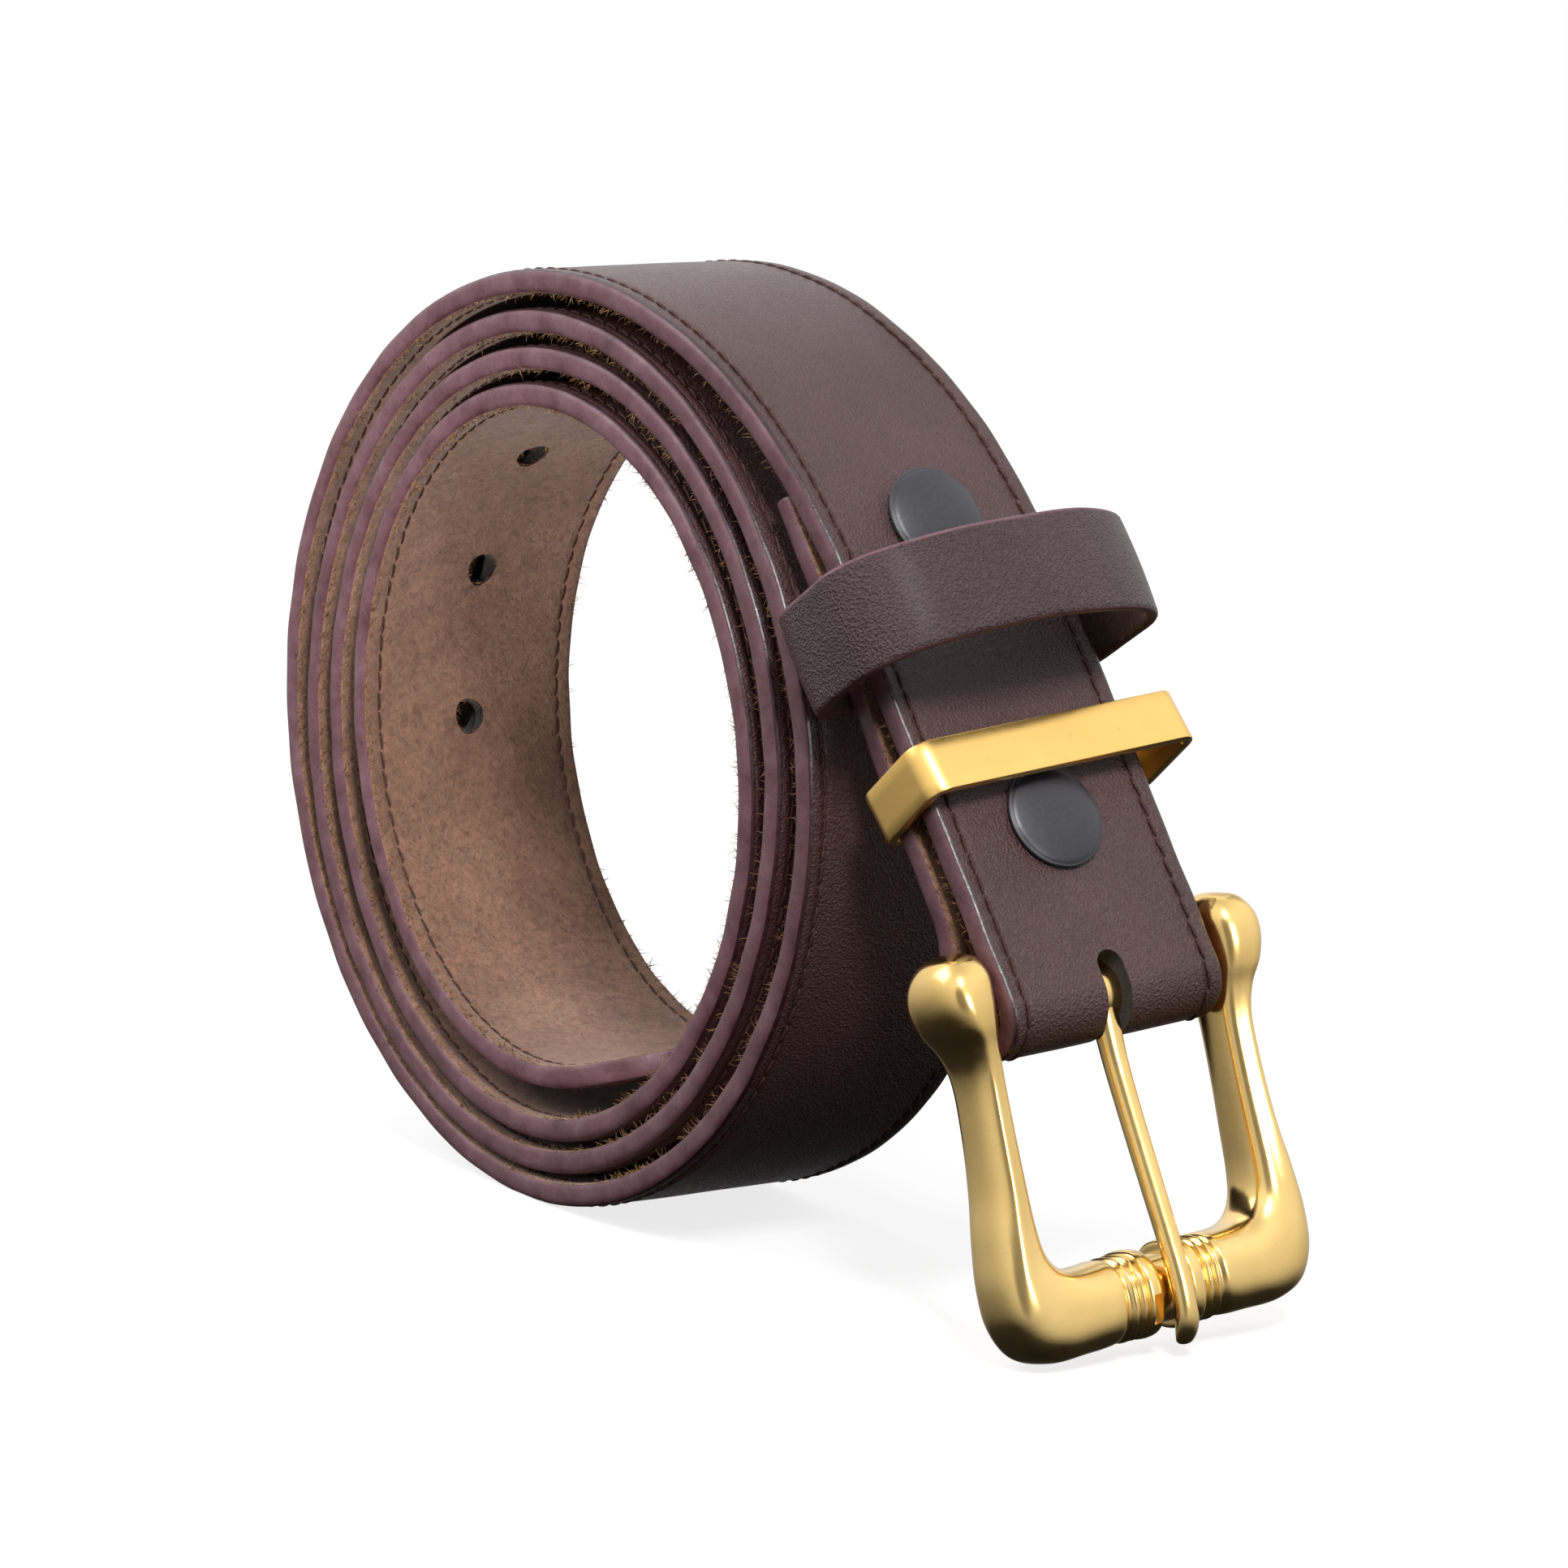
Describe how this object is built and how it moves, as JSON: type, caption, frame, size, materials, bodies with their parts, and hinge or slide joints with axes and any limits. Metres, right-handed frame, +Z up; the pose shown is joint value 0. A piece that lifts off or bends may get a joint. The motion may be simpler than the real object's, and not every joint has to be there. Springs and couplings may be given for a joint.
{
  "type": "leather belt",
  "caption": "Stitched leather strap wound into a standing coil, its end folded round the bar of a brass prong buckle and closed with snaps, with a leather and a metal keeper.",
  "frame": {"origin": "middle of the flat patch under the coil that the belt stands on", "axes": "+Z up, +Y along the width of the strap (the coil's axis), +X towards the buckle"},
  "size_m": [0.1901, 0.0625, 0.1379],
  "materials": {
    "strap_leather": "smooth brown grain with satin sheen, burgundy painted edge, tan suede flesh side",
    "keeper_leather": "pebbled brown grain, glossier than the strap",
    "stitch_thread": "waxed dark brown thread",
    "snap_black": "satin black lacquer over brass",
    "spring_brass": "plain brass wire",
    "staple_steel": "drawn wire",
    "gold_brass": "polished gold tone"
  },
  "bodies": {
    "strap_body": {"strap": "strap_leather", "stitch_thread_front": "stitch_thread", "stitch_thread_back": "stitch_thread", "snap_upper_cap": "snap_black", "snap_upper_socket": "snap_black", "snap_upper_spring": "spring_brass", "snap_upper_stud": "snap_black", "snap_upper_post": "snap_black", "snap_lower_cap": "snap_black", "snap_lower_socket": "snap_black", "snap_lower_spring": "spring_brass", "snap_lower_stud": "snap_black", "snap_lower_post": "snap_black"},
    "buckle": {"buckle_frame": "gold_brass", "buckle_bar": "gold_brass"},
    "prong": {"prong": "gold_brass"},
    "leather_keeper": {"leather_keeper": "keeper_leather", "keeper_staple": "staple_steel"},
    "metal_keeper": {"metal_keeper": "gold_brass"}
  },
  "joints": [
    {"name": "buckle_swing", "type": "hinge", "parent": "strap_body", "child": "buckle", "pos_m": [0.09953, 0.0081, 0.04808], "axis": [0.0488, -0.9951, -0.0856], "range_deg": [-40, 40]},
    {"name": "prong_swing", "type": "hinge", "parent": "buckle", "child": "prong", "pos_m": [0.09953, 0.0081, 0.04808], "axis": [0.0488, -0.9951, -0.0856], "range_deg": [0, 70]},
    {"name": "leather_keeper_slide", "type": "slide", "parent": "strap_body", "child": "leather_keeper", "axis": [0.5495, 0.0785, -0.8318], "range_m": [-0.001, 0.0045]},
    {"name": "metal_keeper_slide", "type": "slide", "parent": "strap_body", "child": "metal_keeper", "axis": [0.5495, 0.0785, -0.8318], "range_m": [-0.0045, 0]}
  ]
}
